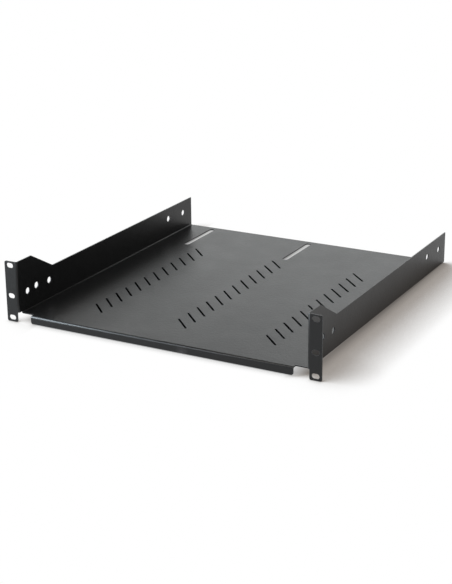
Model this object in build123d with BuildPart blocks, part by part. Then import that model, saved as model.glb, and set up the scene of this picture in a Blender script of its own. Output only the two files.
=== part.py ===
"""A four post rack shelf, two rack units high, folded from one sheet of steel.

The tray, its two side walls, the ears that screw to the rack and the lip
along the front are one piece. X runs across the rack, Y to the rear and Z up.
The origin is the middle of the ears' back faces, which lie on the rack's front
posts, so it is also the centre of the ears' four outer holes.
"""

import os
from math import cos, floor, radians

from build123d import *

# Sheet, in millimetres
sheet = 1.5
inner_bend = 1.5  # inside radius of every fold

# Ears, to the 19 inch rack standard
rack_unit = 44.45
units_high = 2
unit_clearance = 0.4  # how far the ears stop short of the rack units at each end
panel_width = 482.6
ear_reach = 18.8  # of each ear beyond its side wall
screw_margin = 8.75  # from the ears' outer edges to their columns of holes
screw_inset = 6.35  # of the outer holes from the ends of their rack units
screw_slot_length = 11.0
screw_slot_width = 7.2
ear_corner = 2.5

# Tray and side walls
shelf_depth = 484.0  # from the ears' front faces to the rear edge
tray_level = 12.6  # of the tray's top above the ears' lower ends
wall_height = 47.0  # above the tray, behind the ramp
tall_wall_length = 35.0  # wall as high as the ears, behind their front faces
ramp_length = 50.0

# Front lip, between two notches in the tray's front corners
notch_length = 8.0
notch_width = 21.0
lip_drop = 11.2  # from the tray's top to the lip's lower edge
lip_corner = 3.0
relief_width = 2.5

# Slanted vent slots in three columns
vent_columns = 3
vent_column_pitch = 135.0
vent_pitch = 26.0
vent_start = 71.0  # of the first row's centre behind the ears' front faces
vent_length = 39.0
vent_width = 3.2
vent_angle = 45.0

# Long slots at the rear
long_slot_pitch = 175.0
long_slot_length = 91.0
long_slot_width = 9.0
long_slot_margin = 9.0  # from the slots' rear ends to the tray's rear edge
long_slot_gap = 10.0  # least distance from the vents in front of them

# Holes in the side walls, for rails and rear brackets
wall_hole_diameter = 9.2
wall_hole_level = 27.4  # of the lower holes above the tray
wall_hole_stagger = 2.0  # how much higher the others are
front_holes = 23.0  # each behind the ears' front faces
front_holes_high = 44.0
middle_holes = 75.0
rear_holes_high = 74.0  # each in front of the tray's rear edge
rear_holes = 27.0

# Places that follow from those sizes
outer_bend = inner_bend + sheet
panel_height = units_high * rack_unit - 2 * unit_clearance
panel_top = panel_height / 2
panel_bottom = -panel_height / 2
front = -sheet
rear = front + shelf_depth
half_width = panel_width / 2 - ear_reach
ear_inner = half_width + inner_bend
ear_middle = (ear_inner + panel_width / 2) / 2
tray_top = panel_bottom + tray_level
tray_bottom = tray_top - sheet
wall_top = tray_top + wall_height
wall_foot = tray_top + inner_bend
notch_edge = front + notch_length
lip_width = 2 * (half_width - notch_width)
lip_bottom = tray_top - lip_drop

# The ears' outer holes, and one near the middle that ends the first rack unit
screw_column = panel_width / 2 - screw_margin
screw_top = panel_top + unit_clearance - screw_inset
screw_middle = panel_bottom - unit_clearance + rack_unit - screw_inset
screw_heights = (-screw_top, screw_middle, screw_top)

# Sketch planes: across the shelf at its front, and lengthwise down its middle
across = Plane((0, front, 0), x_dir=(1, 0, 0), z_dir=(0, -1, 0))
lengthwise = Plane.YZ

with BuildPart() as shelf:
    # Lip, folded down from the tray between the notches
    with BuildSketch(lengthwise) as lip_section:
        with BuildLine():
            FilletPolyline(
                (notch_edge, tray_top),
                (front, tray_top),
                (front, lip_bottom),
                radius=outer_bend,
            )
            offset(amount=sheet, side=Side.LEFT)
        make_face()
    extrude(amount=lip_width / 2, both=True)
    fillet(shelf.edges().filter_by(Axis.Y).group_by(Axis.Z)[0], lip_corner)

    # Tray and side walls, folded up as high as the ears
    with BuildSketch(across.offset(-notch_length)) as channel_section:
        with BuildLine():
            FilletPolyline(
                (-half_width, panel_top),
                (-half_width, tray_bottom),
                (half_width, tray_bottom),
                (half_width, panel_top),
                radius=outer_bend,
            )
            offset(amount=sheet, side=Side.LEFT)
        make_face()
    extrude(amount=notch_length - shelf_depth)

    # Walls in front of the notches, folded outward into the ears
    with BuildSketch(Plane.XY.offset(wall_foot)) as ear_folds:
        with BuildLine():
            FilletPolyline(
                (half_width - sheet, notch_edge),
                (half_width - sheet, front),
                (ear_middle, front),
                radius=outer_bend,
            )
            offset(amount=sheet, side=Side.LEFT)
        make_face()
        mirror(about=Plane.YZ)
    extrude(amount=panel_top - wall_foot)

    # Ears, reaching down past the tray beside the notches
    with BuildSketch(across) as ear_faces:
        with Locations((ear_inner, panel_bottom)):
            Rectangle(panel_width / 2 - ear_inner, panel_height, align=(Align.MIN, Align.MIN))
        top_inner_corner = ear_faces.vertices().sort_by(Axis.X)[:2].sort_by(Axis.Y)[-1]
        fillet(ear_faces.vertices() - [top_inner_corner], ear_corner)
        mirror(about=Plane.YZ)
    extrude(amount=-sheet)

    # Ramps down to the walls' lower height
    with BuildSketch(lengthwise) as above_walls:
        with BuildLine():
            Polyline(
                (front + tall_wall_length, panel_top),
                (front + tall_wall_length + ramp_length, wall_top),
                (rear, wall_top),
                (rear, panel_top),
                close=True,
            )
        make_face()
    extrude(amount=half_width, both=True, mode=Mode.SUBTRACT)

    # Round reliefs where the fold of each wall ends at its notch
    for side in (-1, 1):
        with BuildSketch(lengthwise.offset(side * half_width)) as fold_relief:
            with Locations((notch_edge - relief_width / 2, wall_foot)):
                Circle(relief_width / 2)
        extrude(amount=-side * sheet, mode=Mode.SUBTRACT)

    # Slotted screw holes in the ears
    with BuildSketch(across) as screw_slots:
        with Locations(*[(side * screw_column, z) for side in (-1, 1) for z in screw_heights]):
            SlotOverall(screw_slot_length, screw_slot_width)
    extrude(amount=-sheet, mode=Mode.SUBTRACT)

    # Round holes through both side walls
    low_places = (front + front_holes, front + middle_holes, rear - rear_holes)
    high_places = (front + front_holes_high, rear - rear_holes_high)
    low = tray_top + wall_hole_level
    high = low + wall_hole_stagger
    with BuildSketch(lengthwise) as wall_holes:
        with Locations(*[(y, low) for y in low_places], *[(y, high) for y in high_places]):
            Circle(wall_hole_diameter / 2)
    extrude(amount=half_width, both=True, mode=Mode.SUBTRACT)

    # Long slots at the rear, and as many rows of slanted vents as fit in front of them
    long_slot_centre = rear - long_slot_margin - long_slot_length / 2
    long_slot_front = long_slot_centre - long_slot_length / 2
    first_row = front + vent_start
    vent_reach = vent_length / 2 * cos(radians(vent_angle))
    last_row_limit = long_slot_front - long_slot_gap - vent_reach
    vent_rows = 1 + floor((last_row_limit - first_row) / vent_pitch)
    rows_middle = first_row + (vent_rows - 1) * vent_pitch / 2
    with BuildSketch(Plane.XY.offset(tray_top)) as tray_slots:
        with Locations((0, long_slot_centre)):
            with GridLocations(long_slot_pitch, 0, 3, 1):
                SlotOverall(long_slot_length, long_slot_width, rotation=90)
        with Locations((0, rows_middle)):
            with GridLocations(vent_column_pitch, vent_pitch, vent_columns, vent_rows):
                SlotOverall(vent_length, vent_width, rotation=-vent_angle)
    extrude(amount=-sheet, mode=Mode.SUBTRACT)

shelf.part.label = "shelf"

os.makedirs("parts", exist_ok=True)
export_step(shelf.part, "parts/shelf.step")
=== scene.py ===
"""Dresses a four post rack shelf: soft punched edges and a satin black powder coat,
in a pale studio. The shelf stands on its ears' lower ends and its tray's rear edge."""
import math

import bpy
from bpy.props import FloatProperty, FloatVectorProperty, IntProperty, PointerProperty
from mathutils import Matrix, Vector


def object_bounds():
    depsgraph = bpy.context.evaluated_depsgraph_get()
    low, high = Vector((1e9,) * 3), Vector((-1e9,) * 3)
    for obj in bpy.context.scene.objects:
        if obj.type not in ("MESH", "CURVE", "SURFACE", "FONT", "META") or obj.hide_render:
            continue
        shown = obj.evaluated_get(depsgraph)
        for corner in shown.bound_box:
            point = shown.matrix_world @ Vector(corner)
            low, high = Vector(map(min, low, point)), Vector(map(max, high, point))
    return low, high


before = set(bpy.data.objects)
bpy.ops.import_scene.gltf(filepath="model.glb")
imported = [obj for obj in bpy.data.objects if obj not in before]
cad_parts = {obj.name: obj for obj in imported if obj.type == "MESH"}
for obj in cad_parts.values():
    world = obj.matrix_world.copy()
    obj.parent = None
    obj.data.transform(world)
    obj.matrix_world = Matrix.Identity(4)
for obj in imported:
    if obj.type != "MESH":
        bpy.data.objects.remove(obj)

bl_info = {
    "name": "Rack shelf dresser",
    "version": (1, 0, 0),
    "blender": (4, 5, 0),
    "location": "3D View > Sidebar > Rack shelf",
    "description": "Powder coats a folded rack shelf and sets it in a pale studio",
    "category": "Object",
}

SHELF = "shelf"
CAD_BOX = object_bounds()

# Soft panel lights: name, place, width and height in metres, power in watts, colour
LIGHTS = (
    ("Left low panel", (-1.09, -0.39, 0.28), (0.62, 0.62), 15.5, (0.80, 0.91, 1.00)),
    ("Front panel", (-0.45, -0.85, 0.65), (0.60, 0.40), 9.7, (0.88, 0.94, 1.00)),
    ("Front overhead panel", (0.00, -0.29, 1.16), (0.50, 0.50), 6.0, (1.00, 0.94, 0.88)),
    ("Rear low panel", (-0.60, 1.35, 0.40), (1.40, 0.66), 3.8, (0.97, 1.00, 1.00)),
    ("Left near panel", (-0.90, -0.10, 0.30), (0.30, 0.30), 2.6, (0.84, 0.93, 1.00)),
    ("Left front low panel", (-1.05, -1.05, 0.16), (0.60, 0.36), 3.6, (0.80, 0.91, 1.00)),
    ("Rear high panel", (-0.05, 1.25, 0.85), (0.60, 0.40), 1.8, (0.98, 0.99, 1.00)),
    ("Left front panel", (-0.70, -0.30, 0.40), (0.30, 0.30), 1.6, (0.88, 0.98, 1.00)),
    ("Rear left panel", (-0.86, 0.74, 0.81), (0.56, 0.56), 1.2, (1.00, 0.97, 0.94)),
    ("Right front panel", (1.05, -0.85, 0.60), (1.00, 0.60), 1.1, (1.00, 0.99, 0.97)),
    ("Right rear panel", (0.95, 1.05, 0.95), (1.00, 0.50), 0.9, (1.00, 0.99, 0.97)),
)
LIGHTS_AIM = (0.0, 0.24, -0.03)
SHADOW_FROM = (-0.86, -0.20, 0.47)  # towards the lights that the painted side shadow falls away from

# The floor's rings from its middle, as shares of its radius: how far out, and how high
FLOOR_SWEEP = (
    (0.05, 0.0), (0.30, 0.0), (0.70, 0.0), (0.85, 0.02), (0.95, 0.07), (1.00, 0.15), (1.01, 0.25),
)
FLOOR_STEPS = 48  # faces round each ring

# Painted shadow on the floor: dark through the vents, light through the notches and the long slots.
# Each fade: where the painted floor is dark, and where it is light, in metres across or along the
# shelf.
NOTCHES_ACROSS = (0.172, 0.184)
NOTCHES_ALONG = (0.065, 0.040)
BESIDE_TRAY = (0.198, 0.212)
BEFORE_LIP = (0.008, 0.0)
UNDER_LONG_SLOTS = (0.374, 0.386)
BEHIND_TRAY = (0.476, 0.482)
LONG_SLOT_LEVEL = 0.58  # floor's lightness under the long slots within the painted shadow, where 1 is white

# How far out from the shelf's middle the painted side shadow starts, and where it is full, in metres
SIDE_SHADOW_START = (0.190, 0.214)

CAMERA_SHIFT = (21 / 584, -7 / 584)  # shares of the picture's long side

# How far a face near an edge turns to the rounded edge, as a cosine: where the thin coat and
# its painted edge highlight start, and where they are full
EDGE_TURN = (0.985, 0.86)
SHARPEST_FOLD = math.radians(50)  # edges that turn further than this are punched, and are rounded


class ShelfFinish(bpy.types.PropertyGroup):
    """The sheet's edges and its powder coat."""

    edge_round: FloatProperty(
        name="Edge rounding",
        description="How far the powder coat rounds off each punched edge",
        default=0.00028, min=0.0, subtype="DISTANCE", unit="LENGTH", precision=5,
    )
    edge_steps: IntProperty(
        name="Edge steps",
        description="Faces across each rounded edge",
        default=2, min=1, max=4,
    )
    coat_colour: FloatVectorProperty(
        name="Coat colour",
        description="Colour of the powder coat where it is clean and even",
        default=(0.0034, 0.0035, 0.0037), min=0.0, max=1.0, size=3, subtype="COLOR",
    )
    patch_colour: FloatVectorProperty(
        name="Coat colour in thin patches",
        description="Colour where the coat is a little thinner and looks greyer",
        default=(0.0050, 0.0050, 0.0050), min=0.0, max=1.0, size=3, subtype="COLOR",
    )
    # Along punched edges the coat runs thin, and a highlight is painted there too.
    edge_wear_and_highlight_colour: FloatVectorProperty(
        name="Edge wear and highlight colour",
        description="Colour of the coat where it runs thin over a punched edge",
        default=(0.100, 0.105, 0.112), min=0.0, max=1.0, size=3, subtype="COLOR",
    )
    edge_width: FloatProperty(
        name="Edge width",
        description="How far from a punched edge the coat looks thin",
        default=0.00045, min=0.0, subtype="DISTANCE", unit="LENGTH", precision=5,
    )
    spot_colour: FloatVectorProperty(
        name="Rubbed spot colour",
        description="Colour of the coat where the lip is rubbed",
        default=(0.034, 0.031, 0.032), min=0.0, max=1.0, size=3, subtype="COLOR",
    )
    spot_place: FloatVectorProperty(
        name="Rubbed spot place",
        description="Middle of the rubbed spot, low on the lip's face",
        default=(0.0400, -0.0015, -0.0405), size=3, subtype="XYZ", unit="LENGTH", precision=4,
    )
    spot_reach: FloatProperty(
        name="Rubbed spot reach",
        description="How far the rubbed spot fades out from its middle",
        default=0.010, min=0.001, subtype="DISTANCE", unit="LENGTH", precision=4,
    )
    roughness: FloatProperty(
        name="Roughness",
        description="Roughness of the satin coat",
        default=0.37, min=0.0, max=1.0, subtype="FACTOR",
    )
    gloss: FloatProperty(
        name="Gloss level",
        description="Strength of the coat's reflections, where 0.5 is plain varnish",
        default=0.32, min=0.0, max=1.0, subtype="FACTOR",
    )
    peel_size: FloatProperty(
        name="Orange peel size",
        description="Distance between the low waves of the coat",
        default=0.0045, min=0.0001, subtype="DISTANCE", unit="LENGTH", precision=5,
    )
    peel_height: FloatProperty(
        name="Orange peel height",
        description="Height of the low waves of the coat",
        default=0.00012, min=0.0, subtype="DISTANCE", unit="LENGTH", precision=6,
    )
    grain_size: FloatProperty(
        name="Grain size",
        description="Distance between the small bumps of the coat",
        default=0.0009, min=0.0001, subtype="DISTANCE", unit="LENGTH", precision=5,
    )
    grain_height: FloatProperty(
        name="Grain height",
        description="Height of the small bumps of the coat",
        default=0.00008, min=0.0, subtype="DISTANCE", unit="LENGTH", precision=6,
    )


class ShelfStudio(bpy.types.PropertyGroup):
    """The floor, the lights and the camera."""

    floor_colour: FloatVectorProperty(
        name="Floor colour",
        description="Colour of the pale floor",
        default=(0.75, 0.75, 0.75), min=0.0, max=1.0, size=3, subtype="COLOR",
    )
    floor_size: FloatProperty(
        name="Floor size",
        description="Radius of the round floor, whose rim sweeps up to a backdrop",
        default=20.0, min=5.0, subtype="DISTANCE", unit="LENGTH",
    )
    floor_slope: FloatProperty(
        name="Floor slope",
        description="Rise to the rear, from the ears' lower ends to the tray's rear edge",
        default=math.atan2(0.0111, 0.4825), subtype="ANGLE", unit="ROTATION",
    )
    sky_strength: FloatProperty(
        name="Sky strength",
        description="Strength of the even light from all round",
        default=0.02, min=0.0,
    )
    light_level: FloatProperty(
        name="Light level",
        description="Multiplies the power of every soft panel",
        default=1.0, min=0.0, subtype="FACTOR", soft_max=2.0,
    )
    floor_white: FloatProperty(
        name="Floor whiteness",
        description="How white the open floor is in the picture and in glosses",
        default=1.0, min=0.0, max=1.0, subtype="FACTOR",
    )
    # The contact shadow is painted into the floor's emission, not cast by the lamps.
    contact_reach: FloatProperty(
        name="Contact shadow",
        description="How far the dark line goes where the shelf is near the floor",
        default=0.017, min=0.0, subtype="DISTANCE", unit="LENGTH",
    )
    # The side shadow and its colour are painted into the floor's emission, not cast by the lamps; the
    # shelf's gloss shows it.
    shadow_reach: FloatProperty(
        name="Side shadow",
        description="How far the soft shadow goes on the side away from the lights",
        default=0.095, min=0.0, subtype="DISTANCE", unit="LENGTH",
    )
    shadow_colour: FloatVectorProperty(
        name="Side shadow colour",
        description="Colour of the floor in the soft shadow beside the shelf",
        default=(0.33, 0.30, 0.275), min=0.0, max=1.0, size=3, subtype="COLOR",
    )
    camera_place: FloatVectorProperty(
        name="Camera place",
        description="Where the camera stands",
        default=(0.9261, -1.5064, 0.6573), size=3, subtype="XYZ", unit="LENGTH",
    )
    camera_roll: FloatProperty(
        name="Camera roll",
        description="Turn of the camera about its own view",
        default=-0.0146, subtype="ANGLE", unit="ROTATION",
    )
    camera_target: FloatVectorProperty(
        name="Camera target",
        description="The point that the camera looks at",
        default=(-0.0365, 0.1985, -0.0216), size=3, subtype="XYZ", unit="LENGTH",
    )
    camera_lens: FloatProperty(
        name="Focal length",
        description="Focal length for a sensor 36 mm along the picture's long side",
        default=88.46, min=10.0, subtype="DISTANCE_CAMERA",
    )


def feed(tree, socket, term):
    """Sets a socket to a value, or links another node's output to it."""
    if isinstance(term, bpy.types.NodeSocket):
        tree.links.new(term, socket)
    else:
        socket.default_value = term


def maths(tree, operation, *terms):
    """The output of a math node; each term is a number or another node's output."""
    node = tree.nodes.new("ShaderNodeMath")
    node.operation = operation
    for socket, term in zip(node.inputs, terms):
        feed(tree, socket, term)
    return node.outputs["Value"]


def remap(tree, name, term, start, end, low=0.0, high=1.0):
    """A value that goes from low to high as the term goes from start to end, and no further."""
    node = tree.nodes.new("ShaderNodeMapRange")
    node.name = node.label = name
    for socket, value in (
        ("Value", term), ("From Min", start), ("From Max", end), ("To Min", low), ("To Max", high),
    ):
        feed(tree, node.inputs[socket], value)
    return node.outputs["Result"]


def noise(tree, name, place, scale, detail, roughness):
    """Soft noise over the surface, from 0 to 1."""
    node = tree.nodes.new("ShaderNodeTexNoise")
    node.name = node.label = name
    for socket, value in (
        ("Vector", place), ("Scale", scale), ("Detail", detail), ("Roughness", roughness),
    ):
        feed(tree, node.inputs[socket], value)
    return node.outputs["Fac"]


def mix_colours(tree, share, first, second):
    """The first colour, which turns into the second as the share goes from 0 to 1."""
    node = tree.nodes.new("ShaderNodeMix")
    node.data_type = "RGBA"
    for socket, value in (("Factor", share), ("A", first), ("B", second)):
        feed(tree, node.inputs[socket], value)
    return node.outputs["Result"]


def powder_coat_group():
    """The coat's patches, thin edges with a painted edge highlight, and grain, as colour, roughness
    and normal.
    """
    group = bpy.data.node_groups.new("Powder coat", "ShaderNodeTree")
    colour = "NodeSocketColor"
    number = "NodeSocketFloat"
    for name, kind in (
        ("Colour", colour), ("Patch colour", colour), ("Edge wear and highlight colour", colour),
        ("Roughness", number), ("Edge width", number),
        ("Peel size", number), ("Peel height", number),
        ("Grain size", number), ("Grain height", number),
    ):
        group.interface.new_socket(name, in_out="INPUT", socket_type=kind)
    for name, kind in (("Colour", colour), ("Roughness", number), ("Normal", "NodeSocketVector")):
        group.interface.new_socket(name, in_out="OUTPUT", socket_type=kind)
    link = group.links.new
    given = group.nodes.new("NodeGroupInput").outputs
    result = group.nodes.new("NodeGroupOutput").inputs
    place = group.nodes.new("ShaderNodeTexCoord").outputs["Object"]

    patches = noise(group, "Uneven coat", place, scale=9.0, detail=3.0, roughness=0.55)
    patches = remap(group, "Patch strength", patches, 0.35, 0.70)
    coat = mix_colours(group, patches, given["Colour"], given["Patch colour"])

    rounded = group.nodes.new("ShaderNodeBevel")
    rounded.samples = 8
    link(given["Edge width"], rounded.inputs["Radius"])
    flat = group.nodes.new("ShaderNodeNewGeometry")
    turn = group.nodes.new("ShaderNodeVectorMath")
    turn.operation = "DOT_PRODUCT"
    link(rounded.outputs["Normal"], turn.inputs[0])
    link(flat.outputs["True Normal"], turn.inputs[1])
    # Lighter along punched edges: partly a thin, rubbed coat, partly a painted edge highlight.
    edge = remap(group, "Punched edge", turn.outputs["Value"], *EDGE_TURN)
    rubs = noise(group, "Rubbed stretches", place, scale=60.0, detail=3.0, roughness=0.6)
    rubs = remap(group, "Rub strength", rubs, 0.30, 0.65, low=0.45)
    thin = maths(group, "MULTIPLY", edge, rubs)
    link(mix_colours(group, thin, coat, given["Edge wear and highlight colour"]), result["Colour"])

    sheen = noise(group, "Sheen patches", place, scale=26.0, detail=4.0, roughness=0.6)
    sheen = remap(group, "Sheen spread", sheen, 0.0, 1.0, low=-0.05, high=0.05)
    link(maths(group, "ADD", given["Roughness"], sheen), result["Roughness"])

    normal = None
    for title, detail in (("Peel", 1.0), ("Grain", 2.0)):
        scale = maths(group, "DIVIDE", 1.0, given[f"{title} size"])
        waves = noise(group, title, place, scale, detail, roughness=0.5)
        bumps = group.nodes.new("ShaderNodeBump")
        bumps.name = bumps.label = f"{title} bumps"
        link(given[f"{title} height"], bumps.inputs["Distance"])
        link(waves, bumps.inputs["Height"])
        if normal:
            link(normal, bumps.inputs["Normal"])
        normal = bumps.outputs["Normal"]
    link(normal, result["Normal"])
    return group


def powder_coat_material(look):
    """Satin black powder coat on steel, with a faint rubbed spot on the lip."""
    material = bpy.data.materials.new("Satin black powder coat")
    material.use_nodes = True
    tree = material.node_tree
    link = tree.links.new
    shader = tree.nodes["Principled BSDF"]
    shader.inputs["Metallic"].default_value = 0.0
    shader.inputs["IOR"].default_value = 1.5
    shader.inputs["Specular IOR Level"].default_value = look.gloss
    coat = tree.nodes.new("ShaderNodeGroup")
    coat.node_tree = powder_coat_group()
    coat.inputs["Colour"].default_value = (*look.coat_colour, 1.0)
    coat.inputs["Patch colour"].default_value = (*look.patch_colour, 1.0)
    coat.inputs["Edge wear and highlight colour"].default_value = (*look.edge_wear_and_highlight_colour, 1.0)
    coat.inputs["Edge width"].default_value = look.edge_width
    coat.inputs["Roughness"].default_value = look.roughness
    coat.inputs["Peel size"].default_value = look.peel_size
    coat.inputs["Peel height"].default_value = look.peel_height
    coat.inputs["Grain size"].default_value = look.grain_size
    coat.inputs["Grain height"].default_value = look.grain_height
    link(coat.outputs["Roughness"], shader.inputs["Roughness"])
    link(coat.outputs["Normal"], shader.inputs["Normal"])

    place = tree.nodes.new("ShaderNodeTexCoord").outputs["Object"]
    away = tree.nodes.new("ShaderNodeVectorMath")
    away.operation = "DISTANCE"
    away.inputs[1].default_value = look.spot_place
    link(place, away.inputs[0])
    spot = remap(tree, "Rubbed spot", away.outputs["Value"], look.spot_reach, 0.0)
    scuffs = noise(tree, "Scuffs", place, scale=350.0, detail=2.0, roughness=0.6)
    scuffs = remap(tree, "Scuff strength", scuffs, 0.30, 0.60, low=0.5)
    rubbed = maths(tree, "MULTIPLY", spot, scuffs)
    colour = mix_colours(tree, rubbed, coat.outputs["Colour"], (*look.spot_colour, 1.0))
    link(colour, shader.inputs["Base Color"])
    return material


def floor_material(studio):
    """Pale floor: white where the picture or a gloss shows it, with the shelf's soft shadow painted
    in.
    """
    material = bpy.data.materials.new("Pale floor")
    material.use_nodes = True
    tree = material.node_tree
    link = tree.links.new
    shader = tree.nodes["Principled BSDF"]
    shader.inputs["Roughness"].default_value = 0.9
    shader.inputs["Specular IOR Level"].default_value = 0.0

    path = tree.nodes.new("ShaderNodeLightPath")
    seen = maths(tree, "MAXIMUM", path.outputs["Is Camera Ray"], path.outputs["Is Glossy Ray"])
    seen = maths(tree, "MAXIMUM", seen, path.outputs["Is Transmission Ray"])
    base = mix_colours(tree, seen, (*studio.floor_colour, 1.0), (0.0, 0.0, 0.0, 1.0))
    link(base, shader.inputs["Base Color"])

    # Painted shadow under the tray: fixed fades in the floor's own coordinates, not cast by the
    # lamps.
    place = tree.nodes.new("ShaderNodeTexCoord")
    axes = tree.nodes.new("ShaderNodeSeparateXYZ")
    link(place.outputs["Object"], axes.inputs["Vector"])
    across = maths(tree, "ABSOLUTE", axes.outputs["X"])
    along = axes.outputs["Y"]
    lit = maths(
        tree, "MINIMUM",
        remap(tree, "Notches across", across, *NOTCHES_ACROSS),
        remap(tree, "Notches along", along, *NOTCHES_ALONG),
    )
    for name, distance, (dark, light), level in (
        ("Beside the tray", across, BESIDE_TRAY, 1.0),
        ("Before the lip", along, BEFORE_LIP, 1.0),
        ("Under the long slots", along, UNDER_LONG_SLOTS, LONG_SLOT_LEVEL),
        ("Behind the tray", along, BEHIND_TRAY, 1.0),
    ):
        lit = maths(tree, "MAXIMUM", lit, remap(tree, name, distance, dark, light, high=level))
    # Painted contact shadow: ambient occlusion darkens the floor's emission near the shelf.
    touch = tree.nodes.new("ShaderNodeAmbientOcclusion")
    touch.samples = 12
    touch.inputs["Distance"].default_value = studio.contact_reach
    contact = remap(tree, "Contact shadow", touch.outputs["AO"], 0.20, 0.90, low=0.42)
    glow_with_painted_shadow = maths(tree, "MULTIPLY", maths(tree, "MULTIPLY", lit, contact), seen)
    link(maths(tree, "MULTIPLY", glow_with_painted_shadow, studio.floor_white), shader.inputs["Emission Strength"])

    # Painted side shadow: ambient occlusion towards the lights tints the floor's emission beside the
    # shelf.
    lamp_side = tree.nodes.new("ShaderNodeCombineXYZ")
    for socket, value in zip(lamp_side.inputs, SHADOW_FROM):
        socket.default_value = value
    beside = tree.nodes.new("ShaderNodeAmbientOcclusion")
    beside.samples = 24
    beside.inputs["Distance"].default_value = studio.shadow_reach
    link(lamp_side.outputs["Vector"], beside.inputs["Normal"])
    lit_side = remap(tree, "Lit side", beside.outputs["AO"], 0.45, 0.90)
    start, full = SIDE_SHADOW_START
    between = remap(tree, "Between the walls", across, full, start)
    unshaded = maths(tree, "MAXIMUM", lit_side, between)
    painted_side_shade = mix_colours(tree, unshaded, (*studio.shadow_colour, 1.0), (1.0, 1.0, 1.0, 1.0))
    link(painted_side_shade, shader.inputs["Emission Color"])
    return material


def floor_mesh(radius):
    """A round floor whose rim sweeps up all round, so that every view has a pale background."""
    turns = [math.tau * step / FLOOR_STEPS for step in range(FLOOR_STEPS)]
    points = [(0, 0, 0)]
    faces = []
    for reach, rise in FLOOR_SWEEP:
        out = radius * reach
        points += [(out * math.cos(turn), out * math.sin(turn), radius * rise) for turn in turns]
    for step in range(FLOOR_STEPS):
        ahead = (step + 1) % FLOOR_STEPS
        faces.append((0, 1 + step, 1 + ahead))
        for ring in range(len(FLOOR_SWEEP) - 1):
            inner = 1 + ring * FLOOR_STEPS
            outer = inner + FLOOR_STEPS
            faces.append((inner + step, outer + step, outer + ahead, inner + ahead))
    mesh = bpy.data.meshes.new("Floor")
    mesh.from_pydata(points, [], faces)
    return mesh


class RACKSHELF_OT_coat_sheet(bpy.types.Operator):
    """Rounds the punched edges of the sheet and powder coats it"""

    bl_idname = "rackshelf.coat_sheet"
    bl_label = "Powder coat the sheet"

    def execute(self, context):
        look = context.scene.rack_shelf_finish
        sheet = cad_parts[SHELF]
        weld = sheet.modifiers.new("Join the faces", "WELD")
        weld.merge_threshold = 1e-6
        edges = sheet.modifiers.new("Soft punched edges", "BEVEL")
        edges.width = look.edge_round
        edges.segments = look.edge_steps
        edges.limit_method = "ANGLE"
        edges.angle_limit = SHARPEST_FOLD
        edges.harden_normals = True
        edges.use_clamp_overlap = True
        edges.miter_outer = "MITER_ARC"
        coat = powder_coat_material(look)
        for slot in sheet.material_slots:
            slot.material = coat
        return {"FINISHED"}


class RACKSHELF_OT_set_studio(bpy.types.Operator):
    """Lays the floor, hangs the lights and places the camera"""

    bl_idname = "rackshelf.set_studio"
    bl_label = "Set the studio"

    def execute(self, context):
        studio = context.scene.rack_shelf_studio
        scene = context.scene
        low, _ = CAD_BOX

        mesh = floor_mesh(studio.floor_size)
        mesh.materials.append(floor_material(studio))
        floor = bpy.data.objects.new("Floor", mesh)
        floor.rotation_euler = (studio.floor_slope, 0, 0)
        floor.location = (0, 0, low.z)
        scene.collection.objects.link(floor)

        world = bpy.data.worlds.new("Studio light")
        scene.world = world
        world.use_nodes = True
        tree = world.node_tree
        sky = tree.nodes["Background"]
        sky.inputs["Color"].default_value = (1, 1, 1, 1)
        sky.inputs["Strength"].default_value = studio.sky_strength

        aim = Vector(LIGHTS_AIM)
        for name, place, (width, height), power, colour in LIGHTS:
            lamp = bpy.data.lights.new(name, "AREA")
            lamp.shape = "RECTANGLE"
            lamp.size = width
            lamp.size_y = height
            lamp.energy = power * studio.light_level
            lamp.color = colour
            light = bpy.data.objects.new(name, lamp)
            light.location = place
            light.rotation_euler = (aim - Vector(place)).to_track_quat("-Z", "Y").to_euler()
            scene.collection.objects.link(light)

        place = Vector(studio.camera_place)
        view = (Vector(studio.camera_target) - place).normalized()
        lens = bpy.data.cameras.new("Camera")
        lens.sensor_fit = "AUTO"
        lens.sensor_width = 36.0
        lens.lens = studio.camera_lens
        lens.shift_x, lens.shift_y = CAMERA_SHIFT
        lens.clip_end = 100.0
        camera = bpy.data.objects.new("Camera", lens)
        turn = view.to_track_quat("-Z", "Y").to_matrix() @ Matrix.Rotation(studio.camera_roll, 3, "Z")
        camera.matrix_world = Matrix.Translation(place) @ turn.to_4x4()
        scene.collection.objects.link(camera)
        scene.camera = camera
        scene.view_settings.view_transform = "Standard"
        return {"FINISHED"}


class RACKSHELF_PT_sidebar(bpy.types.Panel):
    """Lists the shelf's finish and its studio"""

    bl_label = "Rack shelf"
    bl_idname = "RACKSHELF_PT_sidebar"
    bl_space_type = "VIEW_3D"
    bl_region_type = "UI"
    bl_category = "Rack shelf"

    def draw(self, context):
        layout = self.layout
        for title, owner, operator in (
            ("Finish", context.scene.rack_shelf_finish, "rackshelf.coat_sheet"),
            ("Studio", context.scene.rack_shelf_studio, "rackshelf.set_studio"),
        ):
            box = layout.box()
            box.label(text=title)
            for name in type(owner).__annotations__:
                box.prop(owner, name)
            box.operator(operator)


CLASSES = (
    ShelfFinish, ShelfStudio, RACKSHELF_OT_coat_sheet, RACKSHELF_OT_set_studio, RACKSHELF_PT_sidebar,
)


def register():
    for cls in CLASSES:
        bpy.utils.register_class(cls)
    bpy.types.Scene.rack_shelf_finish = PointerProperty(type=ShelfFinish)
    bpy.types.Scene.rack_shelf_studio = PointerProperty(type=ShelfStudio)


def unregister():
    del bpy.types.Scene.rack_shelf_studio
    del bpy.types.Scene.rack_shelf_finish
    for cls in reversed(CLASSES):
        bpy.utils.unregister_class(cls)


def main():
    register()
    bpy.ops.rackshelf.coat_sheet()
    bpy.ops.rackshelf.set_studio()


if __name__ == "__main__":
    main()
